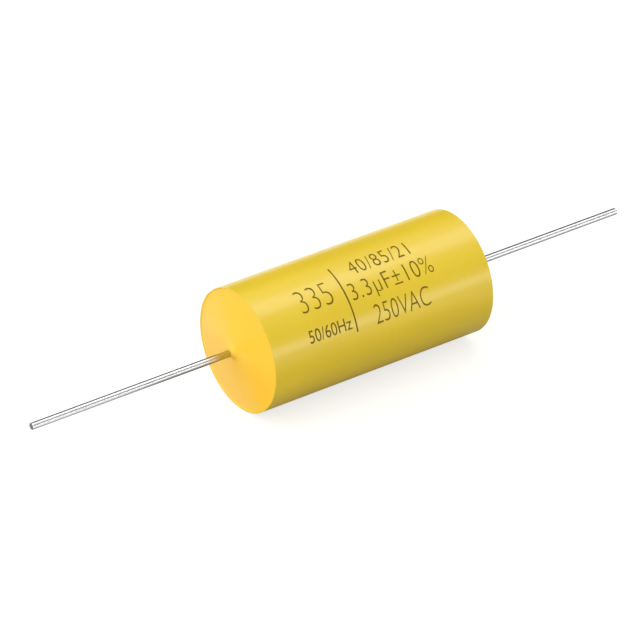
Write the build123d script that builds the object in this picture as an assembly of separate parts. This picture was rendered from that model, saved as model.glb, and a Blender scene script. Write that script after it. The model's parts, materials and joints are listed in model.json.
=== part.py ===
from build123d import *

import math
import os

# Axial film capacitor, millimetres. The roll's axis is X, the origin is the middle of the body on that axis.
# The body lies on its side with +Z up. The right end is +X.

# Film roll
roll_r = 7.07  # outside of the wound film
roll_length = 25.5
mandrel_r = 1.25  # hole left by the winding mandrel

# Tape wrap
tape_t = 0.06  # one turn
tape_turns = 3  # turns all round
tape_overhang = 2.0  # past each end of the roll, which makes the cup for the epoxy
tape_end_angle = 38.0  # where the outermost turn stops, degrees about X from +Y towards +Z

# Sprayed metal ends
spray_t = 0.4
spray_plug = 0.7  # how far the spray reaches into the mandrel hole

# Leads
lead_r = 0.4
lead_out_left = 26.7  # tip past the tape's edge
lead_out_right = 23.0
lead_root_in = 0.1  # straight wire below the top of the epoxy's skirt
foot_reach = 4.3  # from the axis to the end of the wire's foot
foot_angle = -90.0  # which way both feet lie, degrees about X from +Y towards +Z
tip_bevel = 0.04

# Solder over each foot
solder_r = 1.8  # where it meets the spray
solder_inset = 0.3  # its middle, in from the end of the foot
solder_under = 0.1  # between the spray and the wire
solder_over = 0.25  # above the wire

# Epoxy end fills
fill_below_rim = 0.1  # at the tape
fill_rise = 0.85  # of the low cone, from the tape to the axis
skirt_r = 0.8  # hollow curve that climbs the wire
skirt_wet = 0.06  # how far inside the wire's surface that curve would end upright

body_length = roll_length + 2 * tape_overhang
tape_r = roll_r + tape_turns * tape_t
spray_face = roll_length / 2 + spray_t
foot_x = spray_face + solder_under + lead_r
fill_edge_x = body_length / 2 - fill_below_rim


def turned(x, y, angle):
    """A point (x, y) of the section, turned about the axis by an angle in degrees."""
    a = math.radians(angle)
    return (x * math.cos(a) - y * math.sin(a), x * math.sin(a) + y * math.cos(a))


def along_x(sketch, x_from, x_to):
    """Extrude a section, drawn with its X and Y along the part's Y and Z, from x_from to x_to."""
    section = Plane(origin=(x_from, 0, 0), x_dir=(0, 1, 0), z_dir=(1, 0, 0)) * sketch
    return extrude(section, amount=x_to - x_from)


def spun(outline):
    """A closed outline of (distance along X, radius) points, spun about the X axis."""
    return revolve(make_face(outline), Axis.X)


def film_winding():
    """The wound film: every turn as one solid, open along the middle where the mandrel was."""
    return along_x(Circle(roll_r) - Circle(mandrel_r), -roll_length / 2, roll_length / 2)


def end_spray():
    """Sprayed metal on the right end of the roll, with a plug in the mandrel hole."""
    base = roll_length / 2
    outline = Polyline(
        (base - spray_plug, 0),
        (base - spray_plug, mandrel_r),
        (base, mandrel_r),
        (base, roll_r),
        (spray_face, roll_r),
        (spray_face, 0),
        close=True,
    )
    return spun(outline)


def tape_wrap():
    """Turns of tape as one sleeve. The outside is two half circles whose centres lie half a tape apart,
    so it winds in like a spiral and steps down by one tape where the last turn stops. The full half is
    about the axis and takes in the underside."""
    half = tape_t / 2
    start, far = turned(tape_r, 0, tape_end_angle), turned(-tape_r, 0, tape_end_angle)
    inner_lip = turned(tape_r - tape_t, 0, tape_end_angle)
    full_mid = turned(0, -tape_r, tape_end_angle)
    small_mid = turned(-half, tape_r - half, tape_end_angle)
    outline = (
        ThreePointArc(start, full_mid, far)
        + ThreePointArc(far, small_mid, inner_lip)
        + Line(inner_lip, start)
    )
    section = make_face(outline) - Circle(roll_r)
    return along_x(section, -body_length / 2, body_length / 2)


def skirt_curve():
    """The hollow curve that climbs the wire: its centre along X and out from the axis, and the low cone's
    slope, which it meets without a crease."""
    slope = math.atan2(fill_rise, roll_r)
    out = lead_r - skirt_wet + skirt_r
    along = fill_edge_x + (roll_r - out) * math.tan(slope) + skirt_r / math.cos(slope)
    return along, out, slope


def skirt_top():
    """How far along X the epoxy reaches up the wire's surface."""
    along, _, _ = skirt_curve()
    return along - math.sqrt(skirt_r**2 - (skirt_r - skirt_wet) ** 2)


def bend_start():
    """Where the straight wire ends and its bend begins, just inside the epoxy."""
    return skirt_top() - lead_root_in


def fill_blank():
    """Epoxy in the right cup, before the solder and wire that it holds are taken out: a low cone with
    a skirt up the wire."""
    along, out, slope = skirt_curve()

    def on_skirt(turn):
        return (along - skirt_r * math.cos(turn), out - skirt_r * math.sin(turn))

    join, middle, lip = on_skirt(slope), on_skirt((slope + math.pi / 2) / 2), on_skirt(math.pi / 2)
    outline = (
        Polyline((spray_face, 0), (spray_face, roll_r), (fill_edge_x, roll_r), join)
        + ThreePointArc(join, middle, lip)
        + Polyline(lip, (along, 0), (spray_face, 0))
    )
    return spun(outline)


def lead(out):
    """Right-hand wire: straight from its tip into the epoxy, then one bend into a foot along the spray."""
    root = bend_start()
    bend_r = root - foot_x
    straight = along_x(Circle(lead_r), root, body_length / 2 + out)
    straight = chamfer(straight.edges().group_by(Axis.X)[-1], tip_bevel)
    bend = revolve(Plane.YZ.offset(root) * Circle(lead_r), Axis((root, bend_r, 0), (0, 0, -1)), 90)
    foot_plane = Plane(origin=(foot_x, bend_r, 0), x_dir=(0, 0, 1), z_dir=(0, 1, 0))
    foot = extrude(foot_plane * Circle(lead_r), amount=foot_reach - bend_r)
    return straight + bend + foot


def solder_blank():
    """Solder on the right foot: a round cap on the spray over the foot's end, before the wire is taken out."""
    rise = solder_under + 2 * lead_r + solder_over
    cap_r = (solder_r**2 + rise**2) / (2 * rise)
    middle = (spray_face + rise - cap_r, foot_reach - solder_inset, 0)
    ball = Pos(*middle) * Rot(0, 0, 180) * Sphere(cap_r)
    return split(ball, Plane(origin=(spray_face, 0, 0), z_dir=(1, 0, 0)), keep=Keep.TOP)


def end_pieces(out, turn):
    """Spray, lead, solder and epoxy of one end, built at +X and turned about Z into place."""
    lay_foot, to_end = Rot(foot_angle, 0, 0), Rot(0, 0, turn)
    spray = end_spray()
    wire = lay_foot * lead(out)
    solder = lay_foot * solder_blank() - wire
    fill = fill_blank() - solder - wire
    pieces = {"end_spray": spray, "lead": wire, "solder": solder, "end_fill": fill}
    return {name: to_end * piece for name, piece in pieces.items()}


def capacitor():
    """Every piece in its place, by node name."""
    pieces = {"film_winding": film_winding(), "tape_wrap": tape_wrap()}
    for side, out, turn in (("right", lead_out_right, 0), ("left", lead_out_left, 180)):
        for name, piece in end_pieces(out, turn).items():
            pieces[f"{name}_{side}"] = piece
    return pieces


os.makedirs("parts", exist_ok=True)
for name, piece in capacitor().items():
    export_step(piece, f"parts/{name}.step")
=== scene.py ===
import json
import math

import bmesh
import bpy
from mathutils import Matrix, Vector


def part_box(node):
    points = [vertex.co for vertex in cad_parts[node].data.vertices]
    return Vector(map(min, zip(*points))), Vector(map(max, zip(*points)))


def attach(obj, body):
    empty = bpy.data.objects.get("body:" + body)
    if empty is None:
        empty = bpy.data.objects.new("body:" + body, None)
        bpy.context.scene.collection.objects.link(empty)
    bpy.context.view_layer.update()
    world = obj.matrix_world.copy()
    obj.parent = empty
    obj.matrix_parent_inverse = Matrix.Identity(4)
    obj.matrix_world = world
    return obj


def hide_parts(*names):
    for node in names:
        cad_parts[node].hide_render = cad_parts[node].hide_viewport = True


bl_info = {
    "name": "Axial Film Capacitor",
    "version": (1, 0, 0),
    "blender": (4, 5, 0),
    "location": "3D View > Sidebar > Capacitor",
    "description": "Tape, cast ends, tinned leads, printed rating and stage for the packed capacitor",
    "category": "Object",
}

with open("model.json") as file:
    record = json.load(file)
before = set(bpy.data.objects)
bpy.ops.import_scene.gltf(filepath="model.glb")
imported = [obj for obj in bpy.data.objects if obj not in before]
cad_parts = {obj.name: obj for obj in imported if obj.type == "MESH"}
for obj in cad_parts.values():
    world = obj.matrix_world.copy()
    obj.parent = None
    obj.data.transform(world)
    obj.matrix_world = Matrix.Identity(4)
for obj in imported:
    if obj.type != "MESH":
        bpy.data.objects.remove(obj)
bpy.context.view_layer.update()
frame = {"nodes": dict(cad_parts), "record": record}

# Everything is in metres. The body's axis is X and its middle is the origin. It lies on its side, +Z is up,
# and angles round it are about X, from +Y towards +Z.
MM = 0.001
MOUNTS = {mount["name"]: mount for mount in frame["record"]["mounts"]}
ROLL_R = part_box("film_winding")[1].y
BODY_R = MOUNTS["body"]["dims"]["r_mm"] * MM
BODY_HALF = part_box("tape_wrap")[1].x
LEAD_R = MOUNTS["lead_left"]["dims"]["r_mm"] * MM
FILL_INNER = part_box("end_fill_right")[0].x
FILL_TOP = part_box("end_fill_right")[1].x
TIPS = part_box("lead_left")[0].x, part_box("lead_right")[1].x

# Painted reflections: dark lines along each wire where its tin would show the dark parts of the room: where
# each is round it and how far it reaches either way, both in degrees, and how dark it is.
PAINTED_REFLECTION_LINES = {
    "left": ((77, 34, 1.0), (137, 13, 0.4), (210, 33, 1.0), (268, 12, 0.4), (325, 18, 0.7), (15, 8, 0.3)),
    "right": ((84, 40, 1.0), (141, 13, 0.3), (205, 36, 1.0), (262, 14, 0.5), (318, 16, 0.6), (8, 10, 0.4)),
}

# Where each line of print goes: its left and right ends in millimetres, and the angles in degrees of its
# base line and of its capitals' tops.
PRINT_PLACES = {
    "climate": (-1.5, 6.4, 115.5, 100.5),
    "value": (-3.0, 8.0, 138.2, 121.5),
    "voltage": (-1.0, 6.4, 164.8, 146.6),
    "code": (-9.5, -5.2, 134.5, 111.0),
    "mains": (-9.8, -4.2, 160.5, 149.0),
}

# The printed rule: its left side in millimetres, and the angles in degrees of its lower and upper ends.
RULE_PLACE = (-3.72, 164.8, 100.8)

# Height of the font's capitals, in letters 1 high.
CAPITALS = 0.7

# Each lamp's two sides and its distance from the body, in metres, and its direction from there.
LAMP_PLACES = {
    "left_lamp": ((3.6, 1.6), 1.2, (-0.95, 0.0, 0.3)),
    "top_lamp": ((0.4, 0.2), 0.9, (0.504, 0.038, 0.863)),
    "front_lamp": ((0.25, 0.16), 0.9, (0.504, -0.855, 0.135)),
    "back_lamp": ((1.6, 1.0), 1.2, (0.3, 0.8, 0.55)),
}

# Watts that each square metre of a lamp takes for a brightness of 1.
LAMP_WATTS = 4

BLACK, WHITE = (0, 0, 0), (1, 1, 1)


# ---------------------------------------------------------------- materials


class Value:
    """A number or colour that a node gives. Sums and products of numbers add Math nodes."""

    def __init__(self, finish, socket):
        self.finish = finish
        self.socket = socket

    def maths(self, operation, *numbers, clamp=False):
        settings = {"operation": operation, "use_clamp": clamp}
        return self.finish.add("ShaderNodeMath", settings, dict(enumerate(numbers)))

    def __add__(self, other):
        return self.maths("ADD", self, other)

    def __radd__(self, other):
        return self.maths("ADD", other, self)

    def __sub__(self, other):
        return self.maths("SUBTRACT", self, other)

    def __rsub__(self, other):
        return self.maths("SUBTRACT", other, self)

    def __mul__(self, other):
        return self.maths("MULTIPLY", self, other)

    def __rmul__(self, other):
        return self.maths("MULTIPLY", other, self)

    def __pow__(self, other):
        return self.maths("POWER", self, other)

    def __rpow__(self, other):
        return self.maths("POWER", other, self)

    def sine(self):
        return self.maths("SINE", self)

    def turn(self, across):
        """The angle whose tangent is this number over another, all the way round."""
        return self.maths("ARCTAN2", self, across)

    def size(self):
        return self.maths("ABSOLUTE", self)

    def clamped(self):
        return self.maths("ADD", self, 0.0, clamp=True)

    def ramp(self, low, high):
        """0 below low, 1 above high, and smooth between them."""
        settings = {"interpolation_type": "SMOOTHSTEP"}
        sockets = {"Value": self, "From Min": low, "From Max": high}
        return self.finish.add("ShaderNodeMapRange", settings, sockets)


class Finish:
    """The nodes of a material, or of the world."""

    def __init__(self, name, shelf="materials"):
        self.made = getattr(bpy.data, shelf).new(name)
        self.made.use_nodes = True
        self.tree = self.made.node_tree
        self.tree.nodes.clear()

    def add(self, kind, settings=None, sockets=None, output=0):
        """A node of a type, its settings first and then the values or links of its sockets."""
        node = self.tree.nodes.new(kind)
        for name, setting in (settings or {}).items():
            setattr(node, name, setting)
        for name, value in (sockets or {}).items():
            if isinstance(value, Value):
                self.tree.links.new(value.socket, node.inputs[name])
            else:
                node.inputs[name].default_value = value
        return Value(self, node.outputs[output])

    def place(self):
        """Where a point is on the piece, in metres."""
        return self.add("ShaderNodeTexCoord", output="Object")

    def stretched(self, scale, shift=(0, 0, 0)):
        """The place with each axis scaled: a pattern is drawn out along the axis that is scaled least."""
        sockets = {"Vector": self.place(), "Scale": scale, "Location": shift}
        return self.add("ShaderNodeMapping", {"vector_type": "POINT"}, sockets)

    def parts(self, vector):
        """The X, Y and Z of a vector."""
        split = self.add("ShaderNodeSeparateXYZ", sockets={"Vector": vector}).socket.node
        return [Value(self, output) for output in split.outputs]

    def noise(self, vector, detail=2.0, roughness=0.5, distortion=0.0):
        sockets = {"Vector": vector, "Scale": 1.0, "Detail": detail, "Roughness": roughness}
        sockets["Distortion"] = distortion
        return self.add("ShaderNodeTexNoise", {"noise_dimensions": "3D"}, sockets)

    def mixed(self, share, low, high):
        """From the colour low to the colour high, as the share goes from 0 to 1."""
        return self.add("ShaderNodeMix", {"data_type": "RGBA"}, {0: share, 6: low, 7: high}, output=2)

    def bump(self, height, depth, normal=None):
        """A normal from a height of 0 to 1 that stands for a depth in metres."""
        sockets = {"Height": height, "Distance": depth, "Strength": 1.0}
        if normal:
            sockets["Normal"] = normal
        return self.add("ShaderNodeBump", {}, sockets)

    def surface(self, sockets):
        """The material, of the Principled shader with these sockets."""
        return self.output(self.add("ShaderNodeBsdfPrincipled", {}, sockets))

    def output(self, shader, kind="ShaderNodeOutputMaterial"):
        """What was made, with the shader wired to its output."""
        end = self.tree.nodes.new(kind)
        self.tree.links.new(shader.socket, end.inputs["Surface"])
        return self.made

    def shown(self):
        """1 for the camera's own rays, and 1 for rays by way of gloss and glass. Others are only light."""
        rays = self.add("ShaderNodeLightPath").socket.node.outputs
        kinds = ("Camera", "Glossy", "Transmission")
        camera, glossy, through = (Value(self, rays[f"Is {kind} Ray"]) for kind in kinds)
        return camera, (glossy + through).clamped()


def rgba(colour, share=1.0):
    """A colour property as the four numbers of a socket, darkened to a share."""
    return (*(channel * share for channel in colour), 1.0)


def tape_finish(tape):
    """Semi-gloss film: stretch lines along the winding, a slight swell over the turns below, few scuffs."""
    finish = Finish("yellow_film_tape")
    cloud = finish.noise(finish.stretched((60, 220, 220)), detail=3.0)
    lines = finish.noise(finish.stretched((2600, 60, 60)), detail=4.0, roughness=0.6)
    swell = finish.noise(finish.stretched((90, 260, 260)), detail=1.0)
    scuffs = finish.noise(finish.stretched((900, 4200, 4200)), detail=5.0, roughness=0.65)
    tint = (cloud * 0.8 + lines * 0.2).ramp(0.35, 0.65)
    colour = finish.mixed(tint, rgba(tape.colour, 0.975), rgba(tape.colour, 1.025))
    rough = tape.roughness + (scuffs - 0.5) * 0.08 + (lines - 0.5) * 0.03
    fine = finish.bump(lines, 0.0001 * MM)
    normal = finish.bump(swell, 0.01 * MM, fine)
    return finish.surface({"Base Color": colour, "Roughness": rough, "Normal": normal, "IOR": 1.6})


def epoxy_finish(epoxy):
    """Cast resin: a paler colour on one side that paints a reflection's sheen, clouds of random tone, small
    pits and a glossy skin.
    """
    finish = Finish("cast_orange_epoxy")
    _, across, up = finish.parts(finish.place())
    clouds = finish.noise(finish.stretched((190, 190, 190), epoxy.cloud_shift), detail=3.0, distortion=0.6)
    flow = finish.noise(finish.stretched((260, 170, 170)), detail=1.0)
    specks = finish.noise(finish.stretched((3800, 3800, 3800)), detail=2.0)
    # Painted reflection: the face turns paler towards one side, as if it caught the sheen of a reflection,
    # and random clouds break up its edge.
    side = (across * math.cos(epoxy.painted_sheen_side) + up * math.sin(epoxy.painted_sheen_side)) * (1.0 / ROLL_R)
    pale = (side + (clouds - 0.5) * 1.2).ramp(-0.35, 0.75)
    colour = finish.mixed(pale, rgba(epoxy.deep_colour), rgba(epoxy.painted_sheen_colour))
    colour = finish.mixed(specks.ramp(0.72, 0.8) * 0.25, colour, rgba(epoxy.deep_colour, 0.6))
    rough = epoxy.roughness + (clouds - 0.5) * 0.06
    pits = finish.bump(specks.ramp(0.7, 0.82), -0.004 * MM)
    normal = finish.bump(flow, 0.03 * MM, pits)
    return finish.surface({"Base Color": colour, "Roughness": rough, "Normal": normal, "IOR": 1.45})


def wire_finish(wire, side):
    """Bright tin over drawn wire: fine lines along it, dark reflections painted as lines round it, patches
    where the tin is duller, a darker olive tint near each end fill, and sheared ends."""
    finish = Finish(f"bright_tinned_wire_{side}")
    place = finish.place()
    along, _, _ = finish.parts(place)
    fine = finish.noise(finish.stretched((25, 9000, 9000)), detail=3.0, roughness=0.7)
    patches = finish.noise(finish.stretched((500, 900, 900)), detail=3.0)
    lines = fine.ramp(0.6, 0.4) * 0.12
    # The fine lines above are the wire's own. The lines fixed round it below are painted dark reflections.
    for where, either_way, dark in PAINTED_REFLECTION_LINES[side]:
        towards = (0, math.cos(math.radians(where)) / LEAD_R, math.sin(math.radians(where)) / LEAD_R)
        dot = {"operation": "DOT_PRODUCT"}
        near = finish.add("ShaderNodeVectorMath", dot, {0: place, 1: towards}, "Value")
        lines = lines + near.ramp(math.cos(math.radians(either_way)), 1.0) * dark
    bright = finish.mixed(lines.clamped(), rgba(wire.colour), rgba(wire.colour, wire.reflection_line_shade))
    # Near each end fill the tin is tinted a darker olive, fading out a little way along the wire.
    root_tint_reach = 1.0 - along.size().ramp(FILL_TOP + 0.5 * wire.root_tint_reach, FILL_TOP + 1.1 * wire.root_tint_reach)
    root_tinted = finish.mixed(root_tint_reach, bright, rgba(wire.root_tint_colour))
    middle, half_length = (TIPS[0] + TIPS[1]) / 2, (TIPS[1] - TIPS[0]) / 2
    sheared = (along - middle).size().ramp(half_length - 0.03 * MM, half_length - 0.01 * MM)
    colour = finish.mixed(sheared, root_tinted, rgba(wire.colour, 0.25))
    rough = wire.roughness + (patches - 0.5) * 0.1 + sheared * 0.3
    normal = finish.bump(fine, 0.0004 * MM)
    sockets = {"Base Color": colour, "Roughness": rough, "Normal": normal, "Metallic": 1.0}
    return finish.surface(sockets)


def ink_finish(ink):
    """Thin ink that lets some of the tape through where it broke up."""
    finish = Finish("brown_grey_ink")
    worn = finish.noise(finish.stretched((5200, 5200, 5200)), detail=4.0, roughness=0.7)
    colour = finish.mixed(worn.ramp(0.42, 0.72), rgba(ink.colour), rgba(ink.worn_colour))
    rough = 0.5 + (worn - 0.5) * 0.2
    return finish.surface({"Base Color": colour, "Roughness": rough, "Specular IOR Level": 0.15})


def film_finish():
    """Metallised film seen edge on: hundreds of turns as fine rings, with a silvery sheen."""
    finish = Finish("metallised_film_turns")
    _, across, up = finish.parts(finish.place())
    radius = (across * across + up * up) ** 0.5
    ring = 0.05 * MM
    turns = (radius * (math.tau / ring)).sine() * 0.5 + 0.5
    cloud = finish.noise(finish.stretched((300, 300, 300)), detail=3.0)
    dull, bright = rgba((0.42, 0.43, 0.43)), rgba((0.74, 0.75, 0.74))
    colour = finish.mixed(turns * 0.6 + cloud * 0.4, dull, bright)
    rough = 0.3 + cloud * 0.15
    normal = finish.bump(turns, 0.008 * MM)
    return finish.surface({"Base Color": colour, "Roughness": rough, "Normal": normal, "Metallic": 0.6})


def sprayed_finish():
    """Flame-sprayed zinc: matt grey grains fused together."""
    finish = Finish("sprayed_zinc")
    grains = finish.add("ShaderNodeTexVoronoi", {}, {"Vector": finish.place(), "Scale": 9000.0})
    lumps = finish.noise(finish.stretched((2500, 2500, 2500)), detail=4.0)
    pale, dark = rgba((0.62, 0.62, 0.6)), rgba((0.36, 0.36, 0.36))
    colour = finish.mixed(grains * 0.6 + lumps * 0.4, pale, dark)
    normal = finish.bump(grains + lumps, 0.03 * MM)
    rough = 0.62 + (lumps - 0.5) * 0.3
    return finish.surface({"Base Color": colour, "Roughness": rough, "Normal": normal, "Metallic": 0.8})


def solder_finish():
    """Smooth solder with a frosted patch where it froze last."""
    finish = Finish("frozen_solder")
    frost = finish.noise(finish.stretched((900, 900, 900)), detail=4.0)
    bright, frosted = rgba((0.72, 0.72, 0.7)), rgba((0.56, 0.56, 0.55))
    colour = finish.mixed(frost.ramp(0.35, 0.7), bright, frosted)
    rough = 0.18 + frost.ramp(0.45, 0.7) * 0.3
    normal = finish.bump(frost, 0.02 * MM)
    return finish.surface({"Base Color": colour, "Roughness": rough, "Normal": normal, "Metallic": 1.0})


# ---------------------------------------------------------------- shapes


def finished(name, shape, material, smooth=True):
    """A bmesh as an object at the origin, its place in its mesh, with one material."""
    mesh = bpy.data.meshes.new(name)
    for face in shape.faces:
        face.smooth = smooth
    shape.to_mesh(mesh)
    shape.free()
    mesh.materials.append(material)
    piece = bpy.data.objects.new(name, mesh)
    bpy.context.scene.collection.objects.link(piece)
    return piece


def keep_crisp(piece, degrees):
    """Marks the edges of a smooth mesh that are sharper than an angle, so that they stay crisp."""
    piece.data.set_sharp_from_angle(angle=math.radians(degrees))


def paint(node, material):
    """Puts a material in every slot of a CAD node."""
    for slot in frame["nodes"][node].material_slots:
        slot.material = material


def wound_radius(tape, wound):
    """Outside radius of the tape at an angle wound back from its end. Half of each turn is round about the
    axis, and the other half comes in by one thickness."""
    step = tape.thickness / 2
    turns, rest = divmod(wound, math.tau)
    if rest <= math.pi:
        return BODY_R - turns * tape.thickness
    inner = math.sqrt((BODY_R - step) ** 2 - (step * math.sin(rest)) ** 2) - step * math.cos(rest)
    return inner - turns * tape.thickness


def surface_radius(tape, angle):
    """Outside radius of the wound body at an angle about X, from +Y towards +Z."""
    return wound_radius(tape, (tape.end_angle - angle) % math.tau)


def lengthwise(strip):
    """The edges of a plain strip of tape that run along the winding."""
    return [e for e in strip.edges if abs(e.verts[0].co.y - e.verts[1].co.y) > 0.5]


def tape_strip(tape):
    """A flat strip of tape: X along the body, Y from 0 to 1 as it winds, Z from 0 outside to -1 inside."""
    shape = bmesh.new()
    bmesh.ops.create_cube(shape, size=1.0)
    bmesh.ops.scale(shape, vec=(2 * BODY_HALF, 1, tape.thickness), verts=shape.verts)
    bmesh.ops.bevel(
        shape, geom=lengthwise(shape), offset=tape.edge_round, offset_type="OFFSET", affect="EDGES",
        segments=2, profile=0.5, material=-1,
    )
    # A narrow row of faces along each edge keeps the wide one between them flat in its shading.
    for x in (-1, 1):
        plane = {"plane_co": (x * (BODY_HALF - 3 * tape.edge_round), 0, 0), "plane_no": (1, 0, 0)}
        bmesh.ops.bisect_plane(shape, geom=shape.verts[:] + shape.edges[:] + shape.faces[:], **plane)
    cuts = tape.turns * tape.steps - 1
    bmesh.ops.subdivide_edges(shape, edges=lengthwise(shape), cuts=cuts, use_grid_fill=False)
    bmesh.ops.translate(shape, vec=(0, 0.5, -tape.thickness / 2), verts=shape.verts)
    bmesh.ops.scale(shape, vec=(1, 1, 1 / tape.thickness), verts=shape.verts)
    return shape


def edge_wander(tape, wound, side):
    """How far the strip's edge lies in from the body's end: the turns don't stack quite flush."""
    waves = math.sin(0.83 * wound + side) + 0.5 * math.sin(2.3 * wound - 2 * side) + 1.5
    return tape.edge_wander * waves / 3


def wind(shape, tape):
    """Winds the flat strip round the roll, from its outer end inwards."""
    for vert in shape.verts:
        across, along, depth = vert.co
        wound = along * tape.turns * math.tau
        outside = wound_radius(tape, wound)
        thickness = min(tape.thickness, max(outside - ROLL_R, 0.0))
        radius = outside + depth * thickness
        side = math.copysign(1.0, across)
        x = across - side * edge_wander(tape, wound, side) * abs(across) / BODY_HALF
        angle = tape.end_angle - wound
        vert.co = (x, radius * math.cos(angle), radius * math.sin(angle))
    bmesh.ops.recalc_face_normals(shape, faces=shape.faces)


def chain(shape, points):
    """A line of edges through points of the XZ plane."""
    verts = [shape.verts.new((x, 0, z)) for x, z in points]
    return [shape.edges.new(pair) for pair in zip(verts, verts[1:])]


def arc(middle, radius, start, end, steps):
    """Points of the XZ plane on part of a circle, from one angle to another, in radians."""
    angles = [start + (end - start) * i / steps for i in range(steps + 1)]
    return [(middle[0] + radius * math.cos(a), middle[1] + radius * math.sin(a)) for a in angles]


def cast_outline(epoxy):
    """The right end's resin as (along X, radius) points from the axis inside to the axis outside: the wall,
    a small fillet where the resin wets the tape, a low cone, and a skirt that climbs the wire."""
    slope = math.atan2(epoxy.rise, ROLL_R)
    out = LEAD_R - epoxy.wet + epoxy.skirt
    skirt_along = FILL_TOP + math.sqrt(epoxy.skirt ** 2 - (epoxy.skirt - epoxy.wet) ** 2)
    edge = skirt_along - (ROLL_R - out) * math.tan(slope) - epoxy.skirt / math.cos(slope)
    wall = [(FILL_INNER, 0.0), (FILL_INNER, ROLL_R)]
    fillet = arc((edge + epoxy.fillet, ROLL_R - epoxy.fillet), epoxy.fillet, math.pi / 2, math.pi, 4)
    skirt = arc((skirt_along, out), epoxy.skirt, math.pi + slope, math.tau * 0.75, 16)
    return wall + fillet + skirt + [(skirt_along, 0.0)]


def cast_end(epoxy, side):
    """Resin of one end, spun about the axis. Its level is a little uneven between the tape and the wire."""
    shape = bmesh.new()
    edges = chain(shape, cast_outline(epoxy))
    all_but_wall = [e for e in edges if abs(e.verts[0].co.z - e.verts[1].co.z) < 0.9 * ROLL_R]
    cone = max(all_but_wall, key=lambda e: e.calc_length())
    bmesh.ops.subdivide_edges(shape, edges=[cone], cuts=epoxy.cone_steps - 1)
    bmesh.ops.spin(
        shape, geom=shape.verts[:] + shape.edges[:], cent=(0, 0, 0), axis=(1, 0, 0), angle=math.tau,
        steps=epoxy.steps, use_merge=True,
    )
    bmesh.ops.remove_doubles(shape, verts=shape.verts, dist=1e-7)
    for vert in shape.verts:
        x, y, z = vert.co
        # Only the open side is uneven, and most of all half way from the wire to the tape.
        if x > FILL_INNER + 0.1 * MM:
            out = (math.hypot(y, z) - LEAD_R) / (ROLL_R - LEAD_R)
            between = max(0.0, 1 - abs(2 * out - 1))
            waves = math.sin(620 * y + 2 * side) + math.sin(540 * z + 310 * y - side)
            x += epoxy.unevenness * between * (waves - 2) / 4
        vert.co = (side * x, y, z)
    bmesh.ops.recalc_face_normals(shape, faces=shape.faces)
    return shape


# ---------------------------------------------------------------- print


def lettering(line, thinner, spacing):
    """A line of text as a flat mesh."""
    curve = bpy.data.curves.new("lettering", "FONT")
    curve.body = line
    curve.resolution_u = 6
    curve.offset = -thinner
    curve.space_character = spacing
    writing = bpy.data.objects.new("lettering", curve)
    bpy.context.scene.collection.objects.link(writing)
    bpy.context.view_layer.update()
    mesh = bpy.data.meshes.new_from_object(writing.evaluated_get(bpy.context.evaluated_depsgraph_get()))
    bpy.data.objects.remove(writing)
    bpy.data.curves.remove(curve)
    return mesh


def length_of(mesh):
    """How long a flat line of lettering is."""
    places = [vert.co.x for vert in mesh.vertices]
    return max(places) - min(places)


def text_shape(line, ink, letter_height, width):
    """A line of narrow lettering as a flat bmesh, its lower left corner at the origin. The letters are made
    as narrow as the width asks, and where they would be too wide, the space between them grows instead."""
    tall = letter_height / CAPITALS
    thinner = max(0.0, (ink.usual_stroke - ink.stroke / tall) / 2)
    tight, loose = (length_of(lettering(line, thinner, spacing)) for spacing in (1.0, 2.0))
    narrow = min(ink.widest, width / (tight * tall))
    mesh = lettering(line, thinner, 1.0 + (width / (tall * narrow) - tight) / (loose - tight))
    left = min(vert.co.x for vert in mesh.vertices)
    shape = bmesh.new()
    shape.from_mesh(mesh)
    bmesh.ops.remove_doubles(shape, verts=shape.verts, dist=1e-5)
    bmesh.ops.translate(shape, vec=(-left, 0, 0), verts=shape.verts)
    bmesh.ops.scale(shape, vec=(narrow * tall, tall, 1), verts=shape.verts)
    return shape


def rule_shape(width, length):
    """A flat upright bar with its lower left corner at the origin."""
    shape = bmesh.new()
    bmesh.ops.create_grid(shape, x_segments=1, y_segments=1, size=0.5)
    bmesh.ops.scale(shape, vec=(width, length, 1), verts=shape.verts)
    bmesh.ops.translate(shape, vec=(width / 2, length / 2, 0), verts=shape.verts)
    return shape


def wrap_print(shape, tape, ink, left, base_angle):
    """Slices flat print into narrow strips, gives it the ink's thickness and lays it round the body. The
    print's left edge and the angle of its base line say where it goes."""
    low, high = min(v.co.y for v in shape.verts), max(v.co.y for v in shape.verts)
    strips = math.ceil((high - low) / ink.strip)
    for i in range(1, strips):
        geometry = shape.verts[:] + shape.edges[:] + shape.faces[:]
        y = low + (high - low) * i / strips
        bmesh.ops.bisect_plane(shape, geom=geometry, plane_co=(0, y, 0), plane_no=(0, 1, 0))
    raised = bmesh.ops.extrude_face_region(shape, geom=shape.faces[:])
    lifted = [v for v in raised["geom"] if isinstance(v, bmesh.types.BMVert)]
    bmesh.ops.translate(shape, vec=(0, 0, ink.thickness), verts=lifted)
    for vert in shape.verts:
        x, y, height = vert.co
        angle = base_angle - y / BODY_R
        radius = surface_radius(tape, angle) - ink.sunk + height
        vert.co = (left + x, radius * math.cos(angle), radius * math.sin(angle))
    bmesh.ops.recalc_face_normals(shape, faces=shape.faces)


def print_line(tape, ink, material, line):
    """One line of print, by its name in the ink's settings, in its place."""
    left, right, base, top = PRINT_PLACES[line]
    base, top = math.radians(base), math.radians(top)
    shape = text_shape(getattr(ink, line), ink, (base - top) * BODY_R, (right - left) * MM)
    wrap_print(shape, tape, ink, left * MM, base)
    return finished(f"print_{line}", shape, material, smooth=False)


def print_rule(tape, ink, material):
    """The upright bar between the two columns of print."""
    left, base, top = RULE_PLACE
    shape = rule_shape(ink.rule, math.radians(base - top) * BODY_R)
    wrap_print(shape, tape, ink, left * MM, math.radians(base))
    return finished("print_rule", shape, material, smooth=False)


# ---------------------------------------------------------------- settings


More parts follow.
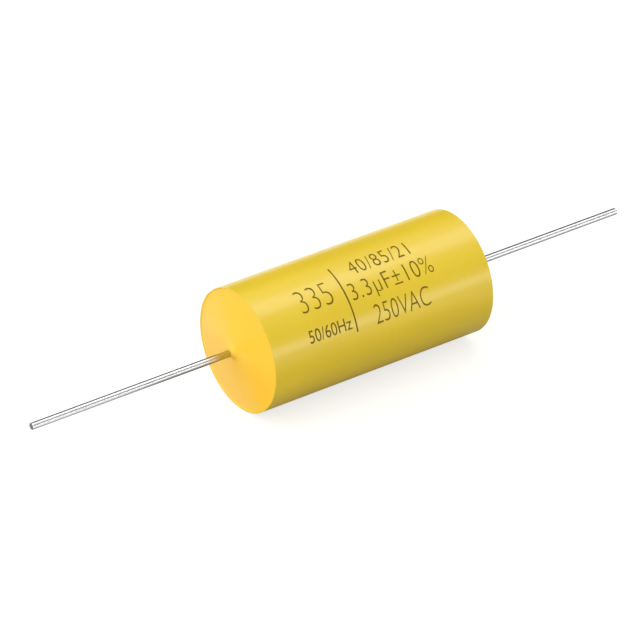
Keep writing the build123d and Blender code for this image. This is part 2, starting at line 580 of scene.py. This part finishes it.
def length(name, description, default):
    return bpy.props.FloatProperty(
        name=name, description=description, default=default, subtype="DISTANCE", unit="LENGTH", precision=6
    )


def angle(name, description, degrees):
    return bpy.props.FloatProperty(
        name=name, description=description, default=math.radians(degrees), subtype="ANGLE", unit="ROTATION"
    )


def span(name, description, *lengths):
    return bpy.props.FloatVectorProperty(
        name=name, description=description, default=lengths, size=2, unit="LENGTH", precision=6
    )


def turn_span(name, description, *degrees):
    turns = [math.radians(turn) for turn in degrees]
    return bpy.props.FloatVectorProperty(
        name=name, description=description, default=turns, size=2, unit="ROTATION"
    )


def colour(name, description, default):
    return bpy.props.FloatVectorProperty(
        name=name, description=description, default=default, subtype="COLOR", min=0.0, max=1.0
    )


def share(name, description, default):
    return bpy.props.FloatProperty(
        name=name, description=description, default=default, subtype="FACTOR", min=0.0, max=1.0
    )


def number(name, description, default):
    return bpy.props.FloatProperty(name=name, description=description, default=default)


def count(name, description, default):
    return bpy.props.IntProperty(name=name, description=description, default=default)


def spot(name, description, default):
    return bpy.props.FloatVectorProperty(name=name, description=description, default=default, subtype="XYZ")


def words(name, description, default):
    return bpy.props.StringProperty(name=name, description=description, default=default)


class TapeSettings(bpy.types.PropertyGroup):
    turns: count("Turns", "Turns of tape round the roll", 3)
    thickness: length("Thickness", "One layer of tape with its adhesive", (BODY_R - ROLL_R) / 3)
    end_angle: angle("End angle", "Where the outermost turn stops, about X from +Y towards +Z", 38.0)
    edge_round: length("Edge rounding", "Rounding of the slit edges", 0.012 * MM)
    edge_wander: length("Edge wander", "How far a turn's edge may lie in from the body's end", 0.04 * MM)
    steps: count("Steps", "Faces round one turn", 128)
    colour: colour("Colour", "Yellow of the film", (0.87, 0.615, 0.016))
    roughness: share("Roughness", "Roughness of the film's surface", 0.3)


class EpoxySettings(bpy.types.PropertyGroup):
    rise: length("Rise", "Height of the low cone, from the tape to the axis", 0.85 * MM)
    skirt: length("Skirt", "Radius of the hollow curve that climbs the wire", 0.8 * MM)
    wet: length("Wetting", "How far inside the wire's surface that curve would end upright", 0.06 * MM)
    fillet: length("Fillet", "Fillet where the resin wets the tape", 0.08 * MM)
    unevenness: length("Unevenness", "How uneven the resin's level is", 0.05 * MM)
    steps: count("Steps", "Faces round the resin", 96)
    cone_steps: count("Cone steps", "Rings of faces on the cone", 12)
    # The deep colour is the resin's own. The pale one, towards one side, paints the sheen of a reflection,
    # and the clouds that the shift moves are random tone.
    deep_colour: colour("Deep colour", "Orange-yellow of thick resin", (1.0, 0.56, 0.018))
    painted_sheen_colour: colour("Pale colour", "Yellow of thin resin", (1.0, 0.61, 0.1))
    painted_sheen_side: angle("Pale side", "Where the resin is thinner, about X from +Y towards +Z", -45.0)
    cloud_shift: spot("Cloud shift", "Moves the pale patches", (0.4, 0.0, 0.0))
    roughness: share("Roughness", "Roughness of the resin's skin", 0.36)


class WireSettings(bpy.types.PropertyGroup):
    colour: colour("Colour", "Bright tin", (0.78, 0.78, 0.775))
    # The line shade is the brightness of the painted dark reflection lines.
    reflection_line_shade: share("Line shade", "Brightness of a die line, as a share of the tin's", 0.3)
    # The next two set how far along the wire, and to what colour, the tin near each end fill is tinted a
    # darker olive.
    root_tint_reach: length("Creep", "How far the resin crept along the wire", 2.2 * MM)
    root_tint_colour: colour("Film colour", "Tin under a thin film of resin", (0.5, 0.49, 0.22))
    roughness: share("Roughness", "Roughness of the tin", 0.3)


class InkSettings(bpy.types.PropertyGroup):
    climate: words("Climate", "Climatic category", "40/85/21")
    value: words("Value", "Capacitance and tolerance", "3.3µF±10%")
    voltage: words("Voltage", "Rated voltage", "250VAC")
    code: words("Code", "The value again, as a number code", "335")
    mains: words("Mains", "Mains frequency", "50/60Hz")
    rule: length("Rule", "Width of the printed rule", 0.18 * MM)
    widest: share("Widest", "Most that a letter's width may be, as a share of its usual width", 0.8)
    stroke: length("Stroke", "Width of the letters' strokes", 0.19 * MM)
    usual_stroke: share("Usual stroke", "Width of the font's strokes, for letters 1 high", 0.09)
    thickness: length("Thickness", "How high the ink stands, with what is sunk", 0.012 * MM)
    sunk: length("Sunk", "How far the ink starts below the tape's surface", 0.004 * MM)
    strip: length("Strip", "Height of the strips that bend round the body", 0.3 * MM)
    colour: colour("Colour", "Ink", (0.14, 0.09, 0.004))
    worn_colour: colour("Worn colour", "Ink that lets the tape through", (0.34, 0.23, 0.01))


class StageSettings(bpy.types.PropertyGroup):
    azimuth: angle("Azimuth", "Camera's turn about Z, 0 looks along +Y", -35.6)
    elevation: angle("Elevation", "Camera's height above the horizon", 31.0)
    distance: length("Distance", "Camera from the body's middle", 0.552)
    lens: number("Lens", "Focal length in millimetres on a 36 mm sensor", 281.25)
    aim_right: length("Aim right", "How far right of the body's middle the camera aims", -3.01 * MM)
    aim_up: length("Aim up", "How far above the body's middle the camera aims", -1.105 * MM)
    floor_size: length("Floor size", "Side of the floor", 6.0)
    floor_colour: colour("Floor colour", "Pale floor", (0.42, 0.42, 0.42))
    floor_white: share("Floor white", "How much whiter the floor is seen than it is lit", 0.7)
    # The next four paint a shadow into the floor's white that gloss sees round the body.
    floor_shade: share("Floor shade", "What gloss sees of that white in the shade close to the body", 0.05)
    shade_sides: span("Shade sides", "From where to where it fades, out from the axis", 14 * MM, 48 * MM)
    shade_ends: span("Shade ends", "From where to where it fades, past the body's ends", 3 * MM, 12 * MM)
    shade_draw: share("Shade draw", "How fast it fades along the body, as a share of how fast across", 0.35)
    sky: number("Sky", "Brightness of the light from all round", 0.6)
    room: share("Room", "Brightness of the room that gloss shows beyond the floor, at the back", 0.03)
    front_room: share("Front room", "Brightness of that room in front", 0.4)
    room_top: share("Room top", "Height of that room's dark part, as a share of the way up", 0.63)
    room_soft: share("Room softness", "How far above and below that height the dark part fades", 0.06)
    gap: share("Gap", "Brightness that gloss shows between the two lamps", 0.85)
    gap_middle: angle("Gap middle", "Where that gap is, about X from +Y towards +Z", 126.0)
    gap_edge: turn_span("Gap edge", "From where to where it fades, either way from its middle", 3.0, 16.0)
    cool: colour("Cool", "Tint of the two small lamps", (0.92, 0.965, 1.0))
    left_lamp: number("Left lamp", "Brightness of the large lamp on the left", 1.24)
    top_lamp: number("Top lamp", "Brightness of the lamp above, for the upper highlight", 2.5)
    front_lamp: number("Front lamp", "Brightness of the low lamp in front, for the lower highlight", 4.0)
    back_lamp: number("Back lamp", "Brightness of the large lamp behind, which gloss doesn't show", 0.5)


# ---------------------------------------------------------------- operators


class WindTape(bpy.types.Operator):
    """Wind the yellow tape: one strip in a spiral, with every turn's edge at the ends"""

    bl_idname = "capacitor.wind_tape"
    bl_label = "Wind the tape"

    def execute(self, context):
        tape = context.scene.capacitor_tape
        shape = tape_strip(tape)
        wind(shape, tape)
        piece = finished("wound_tape", shape, tape_finish(tape))
        keep_crisp(piece, 40.0)
        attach(piece, "root")
        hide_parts("tape_wrap")
        return {"FINISHED"}


class CastEnds(bpy.types.Operator):
    """Cast the resin into both ends, up to the tape and a little way up each wire"""

    bl_idname = "capacitor.cast_ends"
    bl_label = "Cast the ends"

    def execute(self, context):
        epoxy = context.scene.capacitor_epoxy
        material = epoxy_finish(epoxy)
        for name, side in (("left", -1), ("right", 1)):
            piece = finished(f"cast_end_{name}", cast_end(epoxy, side), material)
            keep_crisp(piece, 50.0)
            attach(piece, "root")
            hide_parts(f"end_fill_{name}")
        return {"FINISHED"}


class FinishLeads(bpy.types.Operator):
    """Give the leads their bright tin"""

    bl_idname = "capacitor.finish_leads"
    bl_label = "Finish the leads"

    def execute(self, context):
        for side in PAINTED_REFLECTION_LINES:
            paint(f"lead_{side}", wire_finish(context.scene.capacitor_wire, side))
        return {"FINISHED"}


class FinishRoll(bpy.types.Operator):
    """Give the film roll, the sprayed metal and the solder inside their finishes"""

    bl_idname = "capacitor.finish_roll"
    bl_label = "Finish the roll inside"

    def execute(self, context):
        paint("film_winding", film_finish())
        sprayed, solder = sprayed_finish(), solder_finish()
        for side in ("left", "right"):
            paint(f"end_spray_{side}", sprayed)
            paint(f"solder_{side}", solder)
        return {"FINISHED"}


class PrintRating(bpy.types.Operator):
    """Print the rating round the body: climate, value, voltage, the value's code, the mains and a rule"""

    bl_idname = "capacitor.print_rating"
    bl_label = "Print the rating"

    def execute(self, context):
        tape, ink = context.scene.capacitor_tape, context.scene.capacitor_ink
        material = ink_finish(ink)
        for line in PRINT_PLACES:
            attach(print_line(tape, ink, material, line), "root")
        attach(print_rule(tape, ink, material), "root")
        return {"FINISHED"}


def lamp(name, strength, tint=WHITE, in_gloss=True):
    """A soft lamp of an even brightness in its place, turned to face the body."""
    size, distance, direction = LAMP_PLACES[name]
    data = bpy.data.lights.new(name, "AREA")
    data.shape = "RECTANGLE"
    data.size, data.size_y = size
    data.energy = strength * size[0] * size[1] * LAMP_WATTS
    data.color = tint
    light = bpy.data.objects.new(name, data)
    bpy.context.scene.collection.objects.link(light)
    way = Vector(direction).normalized()
    light.location = way * distance
    light.rotation_euler = way.to_track_quat("Z", "Y").to_euler()
    light.visible_glossy = in_gloss


class SetStage(bpy.types.Operator):
    """Set the floor, the soft lamps, the sky and the camera"""

    bl_idname = "capacitor.set_stage"
    bl_label = "Set the stage"

    def execute(self, context):
        stage = context.scene.capacitor_stage
        self.floor(stage)
        self.sky(context.scene, stage)
        lamp("left_lamp", stage.left_lamp)
        lamp("top_lamp", stage.top_lamp, stage.cool)
        lamp("front_lamp", stage.front_lamp, stage.cool)
        lamp("back_lamp", stage.back_lamp, in_gloss=False)
        self.camera(context.scene, stage)
        context.scene.view_settings.view_transform = "Standard"
        return {"FINISHED"}

    def floor(self, stage):
        shape = bmesh.new()
        bmesh.ops.create_grid(shape, x_segments=1, y_segments=1, size=stage.floor_size / 2)
        bmesh.ops.translate(shape, vec=(0, 0, -BODY_R), verts=shape.verts)
        finish = Finish("pale_floor")
        rough = 0.85 + finish.noise(finish.stretched((40, 40, 40))) * 0.1
        along, across, _ = finish.parts(finish.place())
        # Painted shadow: the floor's white, as gloss sees it, fades to a dark pool close to the body.
        away = ((along * stage.shade_draw) ** 2.0 + across ** 2.0) ** 0.5
        beyond = (along.size() - BODY_HALF).ramp(*stage.shade_ends)
        open_floor = (away.ramp(*stage.shade_sides) + beyond).clamped()
        camera, gloss = finish.shown()
        seen = camera + gloss * (stage.floor_shade + open_floor * (1.0 - stage.floor_shade))
        material = finish.surface({
            "Base Color": rgba(stage.floor_colour),
            "Roughness": rough,
            "Specular IOR Level": 0.0,
            "Emission Color": finish.mixed(seen.clamped(), rgba(BLACK), rgba(WHITE, stage.floor_white)),
            "Emission Strength": 1.0,
        })
        finished("floor", shape, material, smooth=False)

    def sky(self, scene, stage):
        """White where it is seen, with a dark room low down that only gloss shows, and an even light."""
        finish = Finish("studio", "worlds")
        _, across, height = finish.parts(finish.add("ShaderNodeTexCoord", output="Generated"))
        low = 1.0 - height.ramp(stage.room_top - stage.room_soft, stage.room_top + stage.room_soft)
        gap = 1.0 - (height.turn(across) - stage.gap_middle).size().ramp(*stage.gap_edge)
        camera, gloss = finish.shown()
        behind = across.ramp(-0.2, 0.2)
        room = stage.front_room + behind * (stage.room - stage.front_room)
        in_gloss = 1.0 - (low * (1.0 - room) + gap * (1.0 - stage.gap)).clamped()
        level = stage.sky + camera * (1.0 - stage.sky) + gloss * (in_gloss - stage.sky)
        shader = finish.add("ShaderNodeBackground", {}, {"Color": rgba(WHITE), "Strength": level})
        scene.world = finish.output(shader, "ShaderNodeOutputWorld")

    def camera(self, scene, stage):
        turn, rise = stage.azimuth, stage.elevation
        back = Vector((math.sin(turn) * math.cos(rise), -math.cos(turn) * math.cos(rise), math.sin(rise)))
        right = Vector((math.cos(turn), math.sin(turn), 0))
        data = bpy.data.cameras.new("camera")
        data.lens = stage.lens
        data.sensor_width = 36.0
        data.clip_start, data.clip_end = 0.01, 20.0
        camera = bpy.data.objects.new("camera", data)
        scene.collection.objects.link(camera)
        camera.location = right * stage.aim_right + back.cross(right) * stage.aim_up + back * stage.distance
        camera.rotation_euler = back.to_track_quat("Z", "Y").to_euler()
        scene.camera = camera


class CapacitorPanel(bpy.types.Panel):
    """The pieces of the capacitor and their settings"""

    bl_idname = "VIEW3D_PT_capacitor"
    bl_label = "Axial Film Capacitor"
    bl_space_type = "VIEW_3D"
    bl_region_type = "UI"
    bl_category = "Capacitor"

    def draw(self, context):
        for operator, settings in STEPS:
            box = self.layout.box()
            if settings:
                group = getattr(context.scene, settings)
                for name in group.bl_rna.properties.keys():
                    if name not in ("rna_type", "name"):
                        box.prop(group, name)
            box.operator(operator.bl_idname)


STEPS = (
    (WindTape, "capacitor_tape"),
    (CastEnds, "capacitor_epoxy"),
    (FinishLeads, "capacitor_wire"),
    (FinishRoll, None),
    (PrintRating, "capacitor_ink"),
    (SetStage, "capacitor_stage"),
)
SETTINGS = {
    "capacitor_tape": TapeSettings,
    "capacitor_epoxy": EpoxySettings,
    "capacitor_wire": WireSettings,
    "capacitor_ink": InkSettings,
    "capacitor_stage": StageSettings,
}


def register():
    for name, group in SETTINGS.items():
        bpy.utils.register_class(group)
        setattr(bpy.types.Scene, name, bpy.props.PointerProperty(type=group))
    for operator, _ in STEPS:
        bpy.utils.register_class(operator)
    bpy.utils.register_class(CapacitorPanel)


def unregister():
    bpy.utils.unregister_class(CapacitorPanel)
    for operator, _ in reversed(STEPS):
        bpy.utils.unregister_class(operator)
    for name, group in SETTINGS.items():
        delattr(bpy.types.Scene, name)
        bpy.utils.unregister_class(group)


def main():
    register()
    for operator, _ in STEPS:
        family, step = operator.bl_idname.split(".")
        getattr(getattr(bpy.ops, family), step)()


if __name__ == "__main__":
    main()
